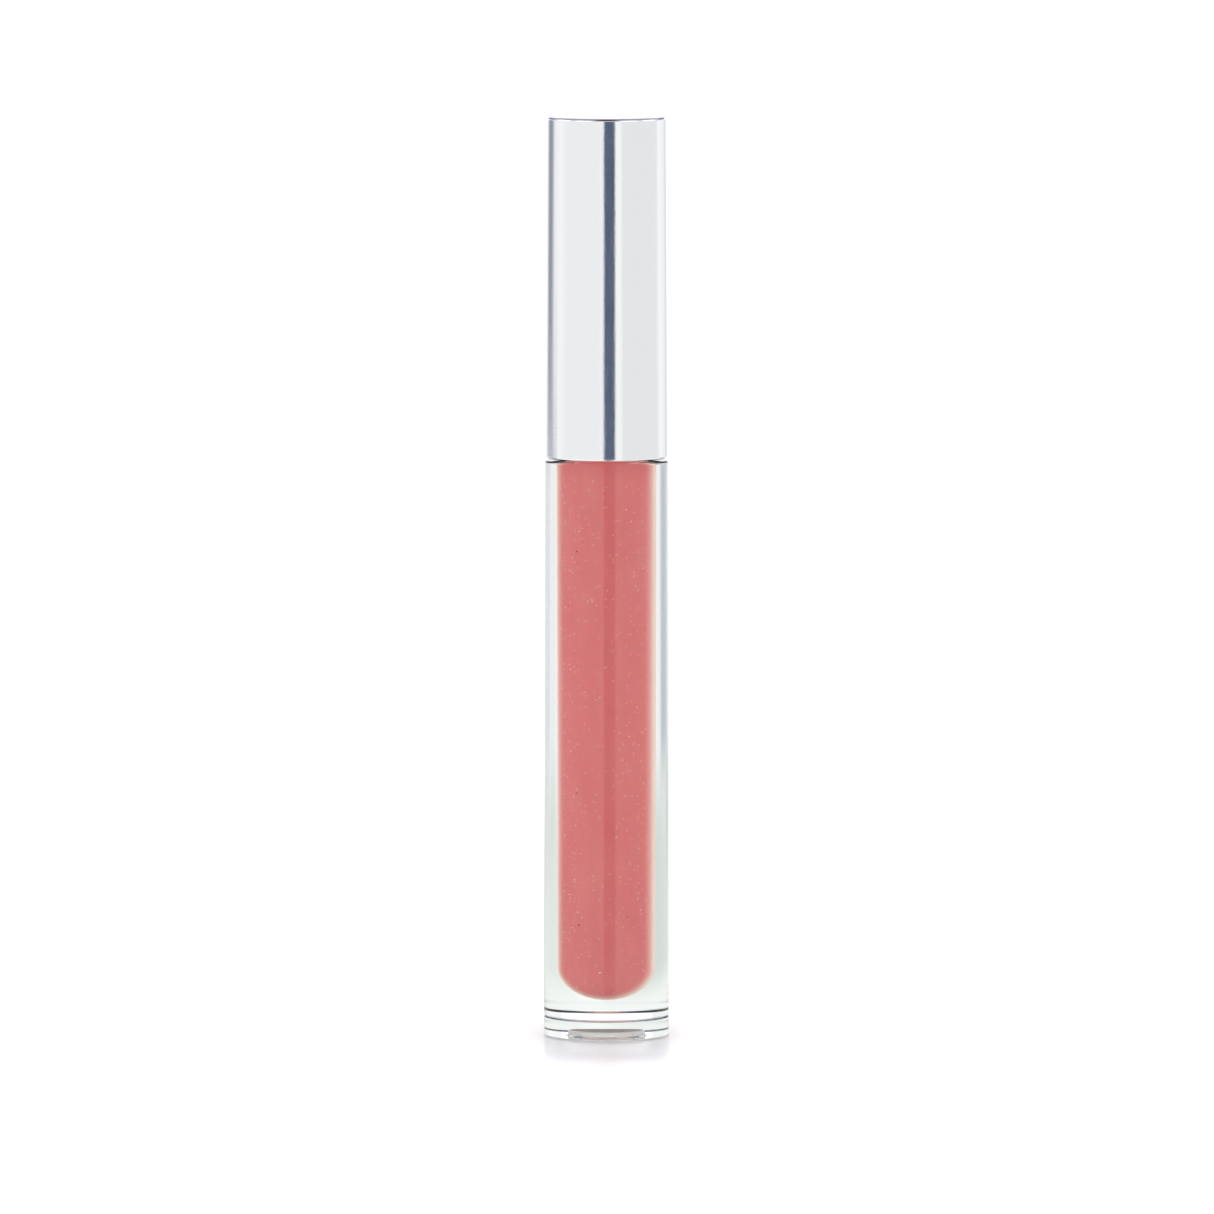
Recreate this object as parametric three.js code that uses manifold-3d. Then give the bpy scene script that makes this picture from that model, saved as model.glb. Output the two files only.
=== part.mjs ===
// Lip gloss tube: a clear thick-walled bottle with a wiper in its neck, and a screw cap that carries a wand.
// Units are millimetres and +Z is up. The origin is the centre of the face that the tube stands on.
import * as THREE from 'three';
import { mergeVertices } from 'three/addons/utils/BufferGeometryUtils.js';
import Module from 'manifold-3d';

const wasm = await Module();
wasm.setup();

// Driving dimensions: heights above the standing face.
const TOTAL_HEIGHT = 112.1;
const SHOULDER_Z = 70.3;
const CAP_EDGE_Z = SHOULDER_Z + 0.3;
const NECK_TOP_Z = SHOULDER_Z + 12;
const PLUG_HEIGHT = 2.35;
const BORE_FLOOR_Z = 4.5;
const TIP_END_Z = 8;

// Driving dimensions: radii.
const FOOT_RADIUS = 7.65;
const SHOULDER_RADIUS = 7.52;
const CAP_EDGE_RADIUS = 7.48;
const CAP_TOP_RADIUS = 7.28;
const BORE_RADIUS = 3.87;
const BORE_FLOOR_RADIUS = 3.75;
const NECK_RADIUS = 5;
const STEM_RADIUS = 1.55;
const ORIFICE_RADIUS = 2;

// Bottle foot.
const WELD_RIB_HEIGHT = 0.06;
const WELD_RIB_RADIUS = 6.2;
const WELD_RIB_WIDTH = 0.3;
const FOOT_FILLET = 0.5;
const SEAM_FILLET = 0.12;
const RECESS_RADIUS = 2.95;
const RECESS_DEPTH = 0.7;
const RECESS_DRAFT = 0.1;
const LABEL_RADIUS = 2.75;
const LABEL_THICKNESS = 0.1;
const BODY_FLOOR_Z = PLUG_HEIGHT + WELD_RIB_HEIGHT;

// Neck, wiper and gloss.
const SHOULDER_FILLET = 0.3;
const NECK_CHAMFER = 0.2;
const FILL_GAP = 0.02;
const FILL_TOP_Z = SHOULDER_Z + 3.7;
const WAND_CHANNEL_RADIUS = 2.1;
const WAND_CHANNEL_FLOOR_Z = TIP_END_Z - 1;
const WIPER_FLANGE_HEIGHT = 0.8;
const WIPER_TOP_Z = NECK_TOP_Z + WIPER_FLANGE_HEIGHT;
const WIPER_WALL = 0.6;
const WIPER_PRESS_GAP = 0.07;
const WIPER_CONE_TOP_Z = NECK_TOP_Z - 4.7;
const WIPER_END_Z = FILL_TOP_Z + 0.5;
const WIPER_LIP_HEIGHT = 1.1;

// Cap.
const SHELL_WALL = 0.5;
const SHELL_TOP_THICKNESS = 0.6;
const SHELL_TOP_FILLET = 0.35;
const SHELL_EDGE_FILLET = 0.22;
const LINER_PRESS_GAP = 0.05;
const LINER_EDGE_Z = CAP_EDGE_Z + 0.4;
const LINER_TOP_GAP = 0.2;
const LINER_WALL = 0.7;
const LINER_SOCKET_RADIUS = 6.15;
const LINER_WEB_THICKNESS = 1.2;
const LINER_BOSS_RADIUS = 2.7;
const GASKET_SPACE = 0.8;
const GASKET_GAP = 0.03;
const GASKET_RADIUS = 5.9;
const WEB_Z = WIPER_TOP_Z + GASKET_SPACE;

// Wand.
const STEM_SOCKET_RADIUS = STEM_RADIUS + 0.05;
const STEM_SOCKET_TOP_Z = WEB_Z + 10.1;
const STEM_TOP_Z = STEM_SOCKET_TOP_Z - 0.3;
const STEM_END_Z = TIP_END_Z + 8.5;
const SNAP_BEAD_Z = STEM_TOP_Z - 3.2;
const SNAP_BEAD_HALF_LENGTH = 0.45;
const SNAP_BEAD_HEIGHT = 0.17;
const SNAP_GROOVE_GAP = 0.1;
const TIP_PLUG_RADIUS = 0.8;
const TIP_PLUG_LENGTH = 3;
const TIP_RADIUS = 1.85;
const TIP_NOSE_RADIUS = 1.3;
const TIP_SLANT_DEGREES = 17;
const TIP_SLANT_OFFSET = 0.9;
const PLUG_GAP = 0.05;
const WAND_CHAMFER = 0.1;

// Threads: one and a half turns of a round bead on the neck and the same inside the liner, half a pitch lower.
const THREAD_PITCH = 2.4;
const THREAD_TURNS = 1.5;
const THREAD_START_Z = SHOULDER_Z + 3.6;
const THREAD_STEPS_PER_TURN = 28;
const THREAD_SECTION_SIDES = 8;
const THREAD_FADE = 0.1;
const NECK_BEAD = { size: 0.4, crest: 5.6, sunk: 4.45 };
const LINER_BEAD = { size: 0.33, crest: 5.7, sunk: 6.52 };

const SEGMENTS = 48;
const WAND_SEGMENTS = 24;
const FILLET_STEPS = 2;
const BORE_FLOOR_STEPS = 8;

const CLEAR = { color: 0xeef2f1, roughness: 0.04, metalness: 0, transparent: true, opacity: 0.3 };
const GLOSS = { color: 0xc9686a, roughness: 0.12, metalness: 0 };
const PAPER = { color: 0xe4e6e3, roughness: 0.8, metalness: 0 };
const SOFT_NATURAL = { color: 0xe9eae6, roughness: 0.5, metalness: 0 };
const SILVER = { color: 0xd9dadd, roughness: 0.12, metalness: 1 };
const WHITE_PLASTIC = { color: 0xf1f1ee, roughness: 0.4, metalness: 0 };
const FLOCK = { color: 0xd98f8c, roughness: 0.95, metalness: 0 };

function point(radius, z) {
  return new THREE.Vector2(radius, z);
}

function arc(radius, z, size, fromDegrees, toDegrees, steps = FILLET_STEPS) {
  const from = THREE.MathUtils.degToRad(fromDegrees);
  const to = THREE.MathUtils.degToRad(toDegrees);
  return new THREE.EllipseCurve(radius, z, size, size, from, to, to < from).getPoints(steps);
}

// Turns an outline of radius and height about the Z axis. The outline goes up its outer side.
function revolve(outline, segments = SEGMENTS) {
  const geometry = new THREE.LatheGeometry(outline.flat(), segments);
  geometry.rotateX(Math.PI / 2);
  return geometry;
}

function toSolid(geometry) {
  const bare = geometry.clone();
  bare.deleteAttribute('normal');
  bare.deleteAttribute('uv');
  const merged = mergeVertices(bare);
  const index = merged.index.array;
  const triangles = [];
  for (let i = 0; i < index.length; i += 3) {
    const [a, b, c] = index.slice(i, i + 3);
    if (a !== b && b !== c && c !== a) {
      triangles.push(a, b, c);
    }
  }
  return new wasm.Manifold(new wasm.Mesh({
    numProp: 3,
    vertProperties: new Float32Array(merged.attributes.position.array),
    triVerts: new Uint32Array(triangles),
  }));
}

function toGeometry(solid) {
  const mesh = solid.getMesh();
  const geometry = new THREE.BufferGeometry();
  geometry.setAttribute('position', new THREE.BufferAttribute(mesh.vertProperties, 3));
  geometry.setIndex(new THREE.BufferAttribute(mesh.triVerts, 1));
  return geometry;
}

// A rising helix whose two ends run into the wall behind it.
class ThreadPath extends THREE.Curve {
  constructor(radius, sunkRadius, startZ) {
    super();
    this.radius = radius;
    this.sunkRadius = sunkRadius;
    this.startZ = startZ;
  }

  getPoint(t, target = new THREE.Vector3()) {
    const angle = 2 * Math.PI * THREAD_TURNS * t;
    const raised = THREE.MathUtils.smoothstep(Math.min(t, 1 - t), 0, THREAD_FADE);
    const radius = THREE.MathUtils.lerp(this.sunkRadius, this.radius, raised);
    const z = this.startZ + THREAD_PITCH * THREAD_TURNS * t;
    return target.set(radius * Math.cos(angle), radius * Math.sin(angle), z);
  }
}

function threadBead(size, radius, sunkRadius, startZ) {
  const section = new THREE.Shape();
  section.absarc(0, 0, size, 0, 2 * Math.PI);
  return new THREE.ExtrudeGeometry(section, {
    steps: THREAD_STEPS_PER_TURN * THREAD_TURNS,
    curveSegments: THREAD_SECTION_SIDES / 2,
    extrudePath: new ThreadPath(radius, sunkRadius, startZ),
  });
}

function bottleBody() {
  const wall = revolve([
    point(0, BODY_FLOOR_Z),
    arc(FOOT_RADIUS - SEAM_FILLET, BODY_FLOOR_Z + SEAM_FILLET, SEAM_FILLET, -90, 0),
    arc(SHOULDER_RADIUS - SHOULDER_FILLET, SHOULDER_Z - SHOULDER_FILLET, SHOULDER_FILLET, 0, 90),
    point(NECK_RADIUS, SHOULDER_Z),
    point(NECK_RADIUS, NECK_TOP_Z - NECK_CHAMFER),
    point(NECK_RADIUS - NECK_CHAMFER, NECK_TOP_Z),
    point(BORE_RADIUS, NECK_TOP_Z),
    arc(0, BORE_FLOOR_Z + BORE_FLOOR_RADIUS, BORE_FLOOR_RADIUS, 0, -90, BORE_FLOOR_STEPS),
  ]);
  const { size, crest, sunk } = NECK_BEAD;
  const bead = threadBead(size, crest - size, sunk, THREAD_START_Z);
  return toGeometry(toSolid(wall).add(toSolid(bead)));
}

function basePlug() {
  const ribInner = WELD_RIB_RADIUS - WELD_RIB_WIDTH;
  return revolve([
    point(0, RECESS_DEPTH),
    point(RECESS_RADIUS, RECESS_DEPTH),
    point(RECESS_RADIUS + RECESS_DRAFT, 0),
    arc(FOOT_RADIUS - FOOT_FILLET, FOOT_FILLET, FOOT_FILLET, -90, 0),
    arc(FOOT_RADIUS - SEAM_FILLET, PLUG_HEIGHT - SEAM_FILLET, SEAM_FILLET, 0, 90),
    point(WELD_RIB_RADIUS, PLUG_HEIGHT),
    point(WELD_RIB_RADIUS, BODY_FLOOR_Z),
    point(ribInner, BODY_FLOOR_Z),
    point(ribInner, PLUG_HEIGHT),
    point(0, PLUG_HEIGHT),
  ]);
}

function baseLabel() {
  const underside = RECESS_DEPTH - LABEL_THICKNESS;
  return revolve([
    point(0, underside),
    point(LABEL_RADIUS, underside),
    point(LABEL_RADIUS, RECESS_DEPTH),
    point(0, RECESS_DEPTH),
  ]);
}

// The gloss stands off the bore by a hair, and leaves a straight channel for the wand.
function glossFill() {
  const roundZ = BORE_FLOOR_Z + BORE_FLOOR_RADIUS;
  const filled = (FILL_TOP_Z - roundZ) / (NECK_TOP_Z - roundZ);
  const topRadius = THREE.MathUtils.lerp(BORE_FLOOR_RADIUS, BORE_RADIUS, filled) - FILL_GAP;
  return revolve([
    arc(0, roundZ, BORE_FLOOR_RADIUS - FILL_GAP, -90, 0, BORE_FLOOR_STEPS),
    point(topRadius, FILL_TOP_Z),
    point(WAND_CHANNEL_RADIUS, FILL_TOP_Z),
    point(WAND_CHANNEL_RADIUS, WAND_CHANNEL_FLOOR_Z),
    point(0, WAND_CHANNEL_FLOOR_Z),
  ]);
}

// A thin funnel hanging in the bore from a flange on the neck's rim.
function wiper() {
  const outer = BORE_RADIUS - WIPER_PRESS_GAP;
  const flangeRadius = NECK_RADIUS - NECK_CHAMFER / 2;
  const lip = point(ORIFICE_RADIUS, WIPER_END_Z);
  return revolve([
    lip,
    point(ORIFICE_RADIUS + WIPER_WALL, WIPER_END_Z),
    point(outer, WIPER_CONE_TOP_Z),
    point(outer, NECK_TOP_Z),
    point(flangeRadius, NECK_TOP_Z),
    point(flangeRadius, WIPER_TOP_Z),
    point(outer - WIPER_WALL, WIPER_TOP_Z),
    point(outer - WIPER_WALL, WIPER_CONE_TOP_Z + WIPER_WALL),
    point(ORIFICE_RADIUS, WIPER_END_Z + WIPER_LIP_HEIGHT),
    lip.clone(),
  ]);
}

function capOvershell() {
  const innerTop = CAP_TOP_RADIUS - SHELL_WALL;
  const innerEdge = CAP_EDGE_RADIUS - SHELL_WALL;
  const underTop = TOTAL_HEIGHT - SHELL_TOP_THICKNESS;
  const edgeZ = CAP_EDGE_Z + SHELL_EDGE_FILLET;
  return revolve([
    point(0, underTop),
    arc(innerTop - SHELL_TOP_FILLET, underTop - SHELL_TOP_FILLET, SHELL_TOP_FILLET, 90, 0),
    arc(innerEdge + SHELL_EDGE_FILLET, edgeZ, SHELL_EDGE_FILLET, 180, 270),
    arc(CAP_EDGE_RADIUS - SHELL_EDGE_FILLET, edgeZ, SHELL_EDGE_FILLET, -90, 0),
    arc(CAP_TOP_RADIUS - SHELL_TOP_FILLET, TOTAL_HEIGHT - SHELL_TOP_FILLET, SHELL_TOP_FILLET, 0, 90),
    point(0, TOTAL_HEIGHT),
  ]);
}

// Threaded skirt below, a web across, and above it a sleeve and a cored boss that reach the shell's top.
function capLiner() {
  const topZ = TOTAL_HEIGHT - SHELL_TOP_THICKNESS - LINER_TOP_GAP;
  const outerEdge = CAP_EDGE_RADIUS - SHELL_WALL - LINER_PRESS_GAP;
  const outerTop = CAP_TOP_RADIUS - SHELL_WALL - LINER_PRESS_GAP - SHELL_TOP_FILLET / 2;
  const webTop = WEB_Z + LINER_WEB_THICKNESS;
  const grooveRadius = STEM_RADIUS + SNAP_BEAD_HEIGHT + SNAP_GROOVE_GAP;
  const coreFloorZ = STEM_SOCKET_TOP_Z + 2;
  const body = revolve([
    point(0, STEM_SOCKET_TOP_Z),
    point(STEM_SOCKET_RADIUS, STEM_SOCKET_TOP_Z),
    point(STEM_SOCKET_RADIUS, SNAP_BEAD_Z + SNAP_BEAD_HALF_LENGTH + SNAP_GROOVE_GAP),
    point(grooveRadius, SNAP_BEAD_Z),
    point(STEM_SOCKET_RADIUS, SNAP_BEAD_Z - SNAP_BEAD_HALF_LENGTH - SNAP_GROOVE_GAP),
    point(STEM_SOCKET_RADIUS, WEB_Z),
    point(LINER_SOCKET_RADIUS, WEB_Z),
    point(LINER_SOCKET_RADIUS, LINER_EDGE_Z + LINER_WALL / 2),
    point(LINER_SOCKET_RADIUS + LINER_WALL / 2, LINER_EDGE_Z),
    point(outerEdge, LINER_EDGE_Z),
    point(outerTop, topZ),
    point(outerTop - LINER_WALL, topZ),
    point(outerTop - LINER_WALL, webTop),
    point(LINER_BOSS_RADIUS, webTop),
    point(LINER_BOSS_RADIUS, topZ),
    point(STEM_SOCKET_RADIUS, topZ),
    point(STEM_SOCKET_RADIUS, coreFloorZ),
    point(0, coreFloorZ),
  ]);
  const { size, crest, sunk } = LINER_BEAD;
  const bead = threadBead(size, crest + size, sunk, THREAD_START_Z - THREAD_PITCH / 2);
  return toGeometry(toSolid(body).add(toSolid(bead)));
}

function capGasket() {
  const bottom = WIPER_TOP_Z + GASKET_GAP;
  const top = WEB_Z - GASKET_GAP;
  const inner = point(ORIFICE_RADIUS, bottom);
  return revolve([
    inner,
    point(GASKET_RADIUS, bottom),
    point(GASKET_RADIUS, top),
    point(ORIFICE_RADIUS, top),
    inner.clone(),
  ]);
}

function wandStem() {
  const plugRadius = TIP_PLUG_RADIUS + PLUG_GAP;
  const plugTop = STEM_END_Z + TIP_PLUG_LENGTH + 6 * PLUG_GAP;
  return revolve([
    point(0, plugTop),
    point(plugRadius, plugTop),
    point(plugRadius, STEM_END_Z),
    point(STEM_RADIUS - WAND_CHAMFER, STEM_END_Z),
    point(STEM_RADIUS, STEM_END_Z + WAND_CHAMFER),
    point(STEM_RADIUS, SNAP_BEAD_Z - SNAP_BEAD_HALF_LENGTH),
    point(STEM_RADIUS + SNAP_BEAD_HEIGHT, SNAP_BEAD_Z),
    point(STEM_RADIUS, SNAP_BEAD_Z + SNAP_BEAD_HALF_LENGTH),
    point(STEM_RADIUS, STEM_TOP_Z - WAND_CHAMFER),
    point(STEM_RADIUS - WAND_CHAMFER, STEM_TOP_Z),
    point(0, STEM_TOP_Z),
  ], WAND_SEGMENTS);
}

// A blunt bullet with one side sliced off on the slant, and a plug for the stem on top.
function doeFootTip() {
  const collarRadius = STEM_RADIUS - WAND_CHAMFER;
  const bellyZ = TIP_END_Z + 4;
  const bellyLength = 1.5;
  const collarLength = 0.8;
  const bullet = revolve([
    arc(0, TIP_END_Z + TIP_NOSE_RADIUS, TIP_NOSE_RADIUS, -90, -15, 5),
    point(TIP_RADIUS, bellyZ),
    point(TIP_RADIUS, bellyZ + bellyLength),
    point(collarRadius, STEM_END_Z - collarLength),
    point(collarRadius, STEM_END_Z),
    point(TIP_PLUG_RADIUS, STEM_END_Z),
    point(TIP_PLUG_RADIUS, STEM_END_Z + TIP_PLUG_LENGTH),
    point(0, STEM_END_Z + TIP_PLUG_LENGTH),
  ], WAND_SEGMENTS);
  const knifeSize = 4 * TIP_RADIUS;
  const knife = new THREE.BoxGeometry(knifeSize, knifeSize, 2 * knifeSize);
  knife.translate(knifeSize / 2, 0, 0);
  knife.rotateY(THREE.MathUtils.degToRad(TIP_SLANT_DEGREES));
  knife.translate(TIP_SLANT_OFFSET, 0, bellyZ);
  return toGeometry(toSolid(bullet).subtract(toSolid(knife)));
}

const SUBPARTS = [
  ['bottle_body', bottleBody, CLEAR],
  ['base_plug', basePlug, CLEAR],
  ['base_label', baseLabel, PAPER],
  ['gloss_fill', glossFill, GLOSS],
  ['wiper', wiper, SOFT_NATURAL],
  ['cap_overshell', capOvershell, SILVER],
  ['cap_liner', capLiner, WHITE_PLASTIC],
  ['cap_gasket', capGasket, SOFT_NATURAL],
  ['wand_stem', wandStem, SOFT_NATURAL],
  ['doe_foot_tip', doeFootTip, FLOCK],
];

const tube = new THREE.Group();
for (const [name, makeGeometry, finish] of SUBPARTS) {
  const mesh = new THREE.Mesh(makeGeometry(), new THREE.MeshStandardMaterial(finish));
  mesh.name = name;
  tube.add(mesh);
}

export default tube;
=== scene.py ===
"""Looks of the lip gloss tube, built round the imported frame.

Outlines are in millimetres of radius and height, and meshes are made in metres, in the frame's own place.
+Z is up and the camera stands on the -Y side.
"""

import math
import random

import bmesh
import bpy
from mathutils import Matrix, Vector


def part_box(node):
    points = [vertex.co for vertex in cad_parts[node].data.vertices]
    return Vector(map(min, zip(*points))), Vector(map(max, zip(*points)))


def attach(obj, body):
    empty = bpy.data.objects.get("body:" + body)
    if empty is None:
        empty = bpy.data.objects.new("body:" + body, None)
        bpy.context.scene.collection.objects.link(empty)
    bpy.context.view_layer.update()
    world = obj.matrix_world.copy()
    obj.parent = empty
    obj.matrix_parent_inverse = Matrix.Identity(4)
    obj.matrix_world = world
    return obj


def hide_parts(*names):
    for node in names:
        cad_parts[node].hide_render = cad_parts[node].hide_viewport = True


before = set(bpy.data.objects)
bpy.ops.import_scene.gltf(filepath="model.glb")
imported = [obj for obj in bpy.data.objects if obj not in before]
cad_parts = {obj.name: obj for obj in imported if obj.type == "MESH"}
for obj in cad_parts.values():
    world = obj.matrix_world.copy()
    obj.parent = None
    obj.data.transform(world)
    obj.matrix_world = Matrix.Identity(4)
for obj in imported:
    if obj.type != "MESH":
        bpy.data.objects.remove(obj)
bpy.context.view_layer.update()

MM = 0.001
SEGMENTS = 192
STEM_SEGMENTS = 64
GASKET_SEGMENTS = 96
FILLET_STEPS = 10
SMALL_FILLET_STEPS = 5
BORE_FLOOR_STEPS = 40
THREAD_DETAIL = 0.06


def top_of(node):
    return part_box(node)[1].z / MM


def bottom_of(node):
    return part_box(node)[0].z / MM


def radius_of(node):
    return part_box(node)[1].x / MM


# Heights and radii that the frame gives, in millimetres.
TOTAL_HEIGHT = top_of("cap_overshell")
CAP_EDGE_Z = bottom_of("cap_overshell")
NECK_TOP_Z = top_of("bottle_body")
BODY_FLOOR_Z = bottom_of("bottle_body")
FOOT_RADIUS = radius_of("base_plug")
CAP_EDGE_RADIUS = radius_of("cap_overshell")
LABEL_RADIUS = radius_of("base_label")
LABEL_FLOOR_Z = bottom_of("base_label")
RECESS_DEPTH = top_of("base_label")
FILL_TOP_Z = top_of("gloss_fill")
WIPER_END_Z = bottom_of("wiper")
WIPER_TOP_Z = top_of("wiper")
LINER_EDGE_Z = bottom_of("cap_liner")
LINER_TOP_Z = top_of("cap_liner")
STEM_TOP_Z = top_of("wand_stem")
STEM_END_Z = bottom_of("wand_stem")
TIP_END_Z = bottom_of("doe_foot_tip")

# The rest of the design, in millimetres, as the CAD parts have it.
SHOULDER_GAP = 0.3
BODY_TAPER = 0.13
CAP_TAPER = 0.2
PLUG_GAP = 0.06
SHOULDER_Z = CAP_EDGE_Z - SHOULDER_GAP
SHOULDER_RADIUS = FOOT_RADIUS - BODY_TAPER
CAP_TOP_RADIUS = CAP_EDGE_RADIUS - CAP_TAPER
PLUG_HEIGHT = BODY_FLOOR_Z - PLUG_GAP
BORE_RADIUS = 3.87
BORE_FLOOR_RADIUS = 3.75
BORE_FLOOR_Z = 4.5
BORE_ROUND_Z = BORE_FLOOR_Z + BORE_FLOOR_RADIUS
NECK_RADIUS = 5.0
THREAD_PITCH = 2.4
THREAD_TURNS = 1.5
THREAD_START_Z = SHOULDER_Z + 3.6
THREAD_FADE = 0.1
STEM_RADIUS = 1.55
SNAP_BEAD_Z = STEM_TOP_Z - 3.2
TIP_BELLY = 1.75
NOTHING = 1e-6


# ---------------------------------------------------------------- outlines and meshes

def arc(radius, z, size, start, end, steps=FILLET_STEPS):
    """Points of a round stretch of an outline, from one angle to another in degrees."""
    points = []
    for i in range(steps + 1):
        angle = math.radians(start + (end - start) * i / steps)
        points.append((radius + size * math.cos(angle), z + size * math.sin(angle)))
    return points


def column(radius, z_from, z_to, step):
    """Closely spaced points up or down a straight side, for a side that carries fine relief."""
    count = max(1, round(abs(z_to - z_from) / step))
    return [(radius, z_from + (z_to - z_from) * i / count) for i in range(count + 1)]


def bore_radius(z):
    """The bore's radius above its rounded floor: it widens slightly towards the neck."""
    along = (z - BORE_ROUND_Z) / (NECK_TOP_Z - BORE_ROUND_Z)
    return BORE_FLOOR_RADIUS + (BORE_RADIUS - BORE_FLOOR_RADIUS) * along


def smooth(t):
    """A soft step from 0 to 1."""
    return t * t * (3 - 2 * t)


def supported(outline, margin):
    """The outline with an extra point just inside each end of its long straight stretches."""
    points = [outline[0]]
    for (r0, z0), (r1, z1) in zip(outline, outline[1:]):
        length = math.hypot(r1 - r0, z1 - z0)
        if length < NOTHING:
            continue
        if length > 4 * margin:
            for t in (margin / length, 1 - margin / length):
                points.append((r0 + (r1 - r0) * t, z0 + (z1 - z0) * t))
        points.append((r1, z1))
    return points


def piece(name, vertices, faces, body, materials, replaces=None, crease=30):
    """A smooth-shaded mesh object that rides on a body."""
    mesh = bpy.data.meshes.new(name)
    mesh.from_pydata(vertices, [], faces)
    mesh.validate()
    for polygon in mesh.polygons:
        polygon.use_smooth = True
    mesh.set_sharp_from_angle(angle=math.radians(crease))
    for material in materials:
        mesh.materials.append(material)
    obj = bpy.data.objects.new(name, mesh)
    bpy.context.scene.collection.objects.link(obj)
    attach(obj, body)
    if replaces:
        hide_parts(replaces)
    return obj


def revolved(outline, closed=False, segments=SEGMENTS, margin=0.04, relief=None):
    """Vertices in metres and faces of an outline turned about Z. The outline goes up its outer side.

    relief(angle, radius, z) gives the radius to use instead, for threads and the like.
    """
    points = supported(outline + outline[:1] if closed else outline, margin)
    if closed:
        points = points[:-1]
    vertices = []
    rings = []
    for radius, z in points:
        start = len(vertices)
        if radius < NOTHING:
            vertices.append((0, 0, z * MM))
            rings.append([start] * segments)
            continue
        for i in range(segments):
            angle = 2 * math.pi * i / segments
            r = relief(angle, radius, z) if relief else radius
            vertices.append((r * MM * math.cos(angle), r * MM * math.sin(angle), z * MM))
        rings.append(list(range(start, start + segments)))
    faces = []
    pairs = list(zip(rings, rings[1:]))
    if closed:
        pairs.append((rings[-1], rings[0]))
    for low, high in pairs:
        for i in range(segments):
            j = (i + 1) % segments
            corners = [low[i], low[j], high[j], high[i]]
            face = [c for k, c in enumerate(corners) if c != corners[k - 1]]
            if len(face) > 2:
                faces.append(face)
    return vertices, faces


def ball():
    """Points and faces of a small round ball of unit radius."""
    mesh = bmesh.new()
    bmesh.ops.create_icosphere(mesh, subdivisions=1, radius=1)
    points = [tuple(vertex.co) for vertex in mesh.verts]
    faces = [[vertex.index for vertex in face.verts] for face in mesh.faces]
    mesh.free()
    return points, faces


BALL_POINTS, BALL_FACES = ball()


def thread_height(angle, z, start_z, half_width):
    """How far a thread bead stands up at a point: 0 to 1, over one and a half turns with faded ends."""
    highest = 0
    for turn in range(2):
        along = (angle / (2 * math.pi) + turn) / THREAD_TURNS
        if along > 1:
            continue
        offset = (z - start_z - THREAD_PITCH * THREAD_TURNS * along) / half_width
        if abs(offset) >= 1:
            continue
        fade = min(1, along / THREAD_FADE, (1 - along) / THREAD_FADE)
        highest = max(highest, smooth(fade) * math.sqrt(1 - offset * offset))
    return highest


# ---------------------------------------------------------------- material tools

def new_material(name, **values):
    """A material with one Principled shader, whose sockets are set by name."""
    material = bpy.data.materials.new(name)
    material.use_nodes = True
    shader = material.node_tree.nodes["Principled BSDF"]
    for socket, value in values.items():
        shader.inputs[socket.replace("_", " ")].default_value = value
    return material, material.node_tree, shader


def add(tree, kind, **values):
    """A node of the given kind, with its properties and its sockets' values set by name."""
    node = tree.nodes.new(kind)
    for key, value in values.items():
        if hasattr(node, key):
            setattr(node, key, value)
        else:
            node.inputs[key.replace("_", " ")].default_value = value
    return node


def feed(tree, socket, value):
    """Sets an input socket to a number or a colour, or links another node's output to it."""
    if isinstance(value, bpy.types.NodeSocket):
        tree.links.new(value, socket)
    elif isinstance(value, tuple) and len(value) == 3:
        socket.default_value = (*value, 1)
    else:
        socket.default_value = value


def calculate(tree, operation, *values, clamp=False):
    """The result of a sum on numbers or other nodes' outputs."""
    node = add(tree, "ShaderNodeMath", operation=operation, use_clamp=clamp)
    for socket, value in zip(node.inputs, values):
        feed(tree, socket, value)
    return node.outputs[0]


def remap(tree, value, source=(0, 1), target=(0, 1), soft=False):
    """A value moved from one range to another, in a straight line or with soft ends."""
    kind = "SMOOTHSTEP" if soft else "LINEAR"
    node = add(tree, "ShaderNodeMapRange", interpolation_type=kind)
    sockets = ("From Min", "From Max", "To Min", "To Max")
    for name, number in zip(sockets, (*source, *target)):
        node.inputs[name].default_value = number
    feed(tree, node.inputs["Value"], value)
    return node.outputs["Result"]


def mixed(tree, factor, first, second, data_type="RGBA"):
    """A mix of two colours or, with data_type FLOAT, of two numbers."""
    node = add(tree, "ShaderNodeMix", data_type=data_type)
    for name, value in (("Factor", factor), ("A", first), ("B", second)):
        feed(tree, node.inputs[name], value)
    return node.outputs["Result"]


def object_place(tree):
    """The point's own coordinates on the object, in metres."""
    return add(tree, "ShaderNodeTexCoord").outputs["Object"]


def object_noise(tree, scale, stretch=(1, 1, 1), detail=3, roughness=0.5):
    """Noise in the object's own coordinates. The scale is in cells per metre."""
    mapping = add(tree, "ShaderNodeMapping")
    mapping.inputs["Scale"].default_value = stretch
    noise = add(tree, "ShaderNodeTexNoise", Scale=scale, Detail=detail, Roughness=roughness)
    tree.links.new(object_place(tree), mapping.inputs["Vector"])
    tree.links.new(mapping.outputs["Vector"], noise.inputs["Vector"])
    return noise.outputs["Fac"]


def ramp(tree, source, stops):
    """Colours at stated places of a value's range from 0 to 1."""
    node = add(tree, "ShaderNodeValToRGB")
    elements = node.color_ramp.elements
    while len(elements) < len(stops):
        elements.new(0.5)
    for element, (position, color) in zip(elements, stops):
        element.position = position
        element.color = (*color, 1)
    tree.links.new(source, node.inputs["Fac"])
    return node.outputs["Color"]


def grey(value):
    return (value, value, value)


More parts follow.
